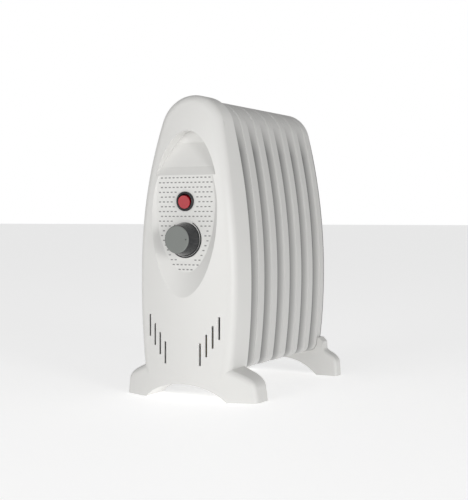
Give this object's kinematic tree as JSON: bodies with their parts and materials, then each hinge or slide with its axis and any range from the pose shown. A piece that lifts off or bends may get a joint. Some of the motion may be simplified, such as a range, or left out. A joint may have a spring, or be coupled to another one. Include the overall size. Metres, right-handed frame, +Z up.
{
  "type": "oil filled radiator heater",
  "caption": "Upright oil filled radiator with a stack of arched steel fins, a moulded front cover with a recessed knob and rocker switch, and arched feet.",
  "frame": {"origin": "bottom centre of the whole heater's bounding box, on the floor", "axes": "+Z up, +X to the right seen from the front, +Y from the front cover towards the rear foot"},
  "size_m": [0.1792, 0.2928, 0.3605],
  "materials": {
    "fin_enamel": "satin stoved enamel",
    "white_moulding": "satin moulded polypropylene",
    "zinc_steel": "zinc plated",
    "mild_steel": "turned",
    "brass_turned": "turned",
    "sheath_steel": "annealed",
    "gasket_fibre": "compressed fibre",
    "white_ceramic": "unglazed",
    "bimetal": "rolled",
    "black_moulding": "moulded",
    "red_lens": "translucent moulded",
    "lamp_glass": "clear",
    "grey_moulding": "fine matt",
    "block_moulding": "moulded",
    "black_rubber": "moulded",
    "wire_sleeve": "silicone sleeving"
  },
  "bodies": {
    "heater": {"bimetal_strip": "bimetal", "ceramic_stack": "white_ceramic", "contact_blade": "brass_turned", "cord_gland": "black_rubber", "cover_screws": "zinc_steel", "element_boss": "mild_steel", "element_flange": "brass_turned", "element_gasket": "gasket_fibre", "element_insulators": "white_ceramic", "element_terminal_pins": "sheath_steel", "fin_1_back_plate": "fin_enamel", "fin_1_front_plate": "fin_enamel", "fin_2_back_plate": "fin_enamel", "fin_2_front_plate": "fin_enamel", "fin_3_back_plate": "fin_enamel", "fin_3_front_plate": "fin_enamel", "fin_4_back_plate": "fin_enamel", "fin_4_front_plate": "fin_enamel", "fin_5_back_plate": "fin_enamel", "fin_5_front_plate": "fin_enamel", "fin_6_back_plate": "fin_enamel", "fin_6_front_plate": "fin_enamel", "front_cover": "white_moulding", "front_foot": "white_moulding", "front_foot_screws": "zinc_steel", "heating_element": "sheath_steel", "mounting_plate": "zinc_steel", "oil_filler_plug": "zinc_steel", "rear_foot": "white_moulding", "rear_foot_bracket": "zinc_steel", "rear_foot_nut": "zinc_steel", "rear_foot_screws": "zinc_steel", "rear_foot_stud": "zinc_steel", "standoff_nuts": "zinc_steel", "standoffs": "zinc_steel", "switch_housing": "black_moulding", "switch_terminals": "brass_turned", "terminal_block": "block_moulding", "terminal_screws": "zinc_steel", "thermal_cutout": "zinc_steel", "thermostat_bush": "brass_turned", "thermostat_frame": "zinc_steel", "thermostat_screws": "zinc_steel", "wire_block_to_switch": "wire_sleeve", "wire_cutout_to_element": "wire_sleeve", "wire_earth": "wire_sleeve", "wire_neutral": "wire_sleeve", "wire_switch_to_thermostat": "wire_sleeve", "wire_thermostat_to_cutout": "wire_sleeve"},
    "knob": {"control_knob": "grey_moulding", "knob_clip": "zinc_steel", "thermostat_spindle": "zinc_steel"},
    "rocker": {"rocker": "red_lens", "rocker_plunger": "brass_turned", "plunger_spring": "zinc_steel", "neon_lamp": "lamp_glass"},
    "contact_lever": {"contact_lever": "brass_turned"}
  },
  "joints": [
    {"name": "knob_turn", "type": "hinge", "parent": "heater", "child": "knob", "pos_m": [0, -0.12545, 0.1895], "axis": [0, 1, 0], "range_deg": [-120, 150]},
    {"name": "rocker_tilt", "type": "hinge", "parent": "heater", "child": "rocker", "pos_m": [0, -0.12345, 0.234], "axis": [1, 0, 0], "range_deg": [-18, 0]},
    {"name": "contact_tilt", "type": "hinge", "parent": "heater", "child": "contact_lever", "pos_m": [0, -0.11405, 0.234], "axis": [1, 0, 0], "range_deg": [0, 12]}
  ],
  "couplings": [
    {"joint": "contact_tilt", "follows": "rocker_tilt", "ratio": -0.6666}
  ]
}
